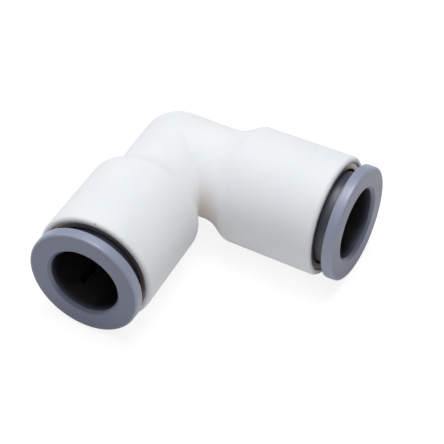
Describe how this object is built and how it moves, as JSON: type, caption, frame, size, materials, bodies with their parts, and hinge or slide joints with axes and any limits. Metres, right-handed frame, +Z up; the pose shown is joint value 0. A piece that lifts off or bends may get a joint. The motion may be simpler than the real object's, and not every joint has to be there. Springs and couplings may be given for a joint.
{
  "type": "push-in elbow fitting",
  "caption": "Right-angle push-in tube fitting with a moulded body, a sliding release collet in each mouth, and a toothed grip ring and seal ring behind it.",
  "frame": {"origin": "on the surface that the fitting lies on, under the middle of its outline seen from above", "axes": "+X out of port b, -Y out of port a, +Z up, square to the plane of the two port axes"},
  "size_m": [0.043, 0.043, 0.0206],
  "materials": {
    "body_plastic": "white moulded plastic, satin gloss",
    "collet_plastic": "blue-grey moulded plastic, satin",
    "guide_metal": "turned metal with a dull warm grey plating",
    "grip_steel": "stamped stainless steel",
    "spacer_plastic": "plain moulded plastic",
    "seal_rubber": "black rubber"
  },
  "bodies": {
    "fitting": {"elbow_body": "body_plastic", "guide_ring_a": "guide_metal", "guide_ring_b": "guide_metal", "spacer_ring_a": "spacer_plastic", "spacer_ring_b": "spacer_plastic", "seal_ring_a": "seal_rubber", "seal_ring_b": "seal_rubber"},
    "grip_a": {"grip_ring_a": "grip_steel"},
    "collet_a": {"release_collet_a": "collet_plastic"},
    "grip_b": {"grip_ring_b": "grip_steel"},
    "collet_b": {"release_collet_b": "collet_plastic"}
  },
  "joints": [
    {"name": "swivel_a", "type": "hinge", "parent": "fitting", "child": "grip_a", "pos_m": [-0.01126, -0.00204, 0.01029], "axis": [0, -1, 0], "continuous": true},
    {"name": "press_a", "type": "slide", "parent": "grip_a", "child": "collet_a", "axis": [0, 1, 0], "range_m": [0, 0.00175], "stiffness_N_per_m": 2000},
    {"name": "swivel_b", "type": "hinge", "parent": "fitting", "child": "grip_b", "pos_m": [0.00204, 0.01126, 0.01029], "axis": [1, 0, 0], "continuous": true},
    {"name": "press_b", "type": "slide", "parent": "grip_b", "child": "collet_b", "axis": [-1, 0, 0], "range_m": [0, 0.00175], "stiffness_N_per_m": 2000}
  ]
}
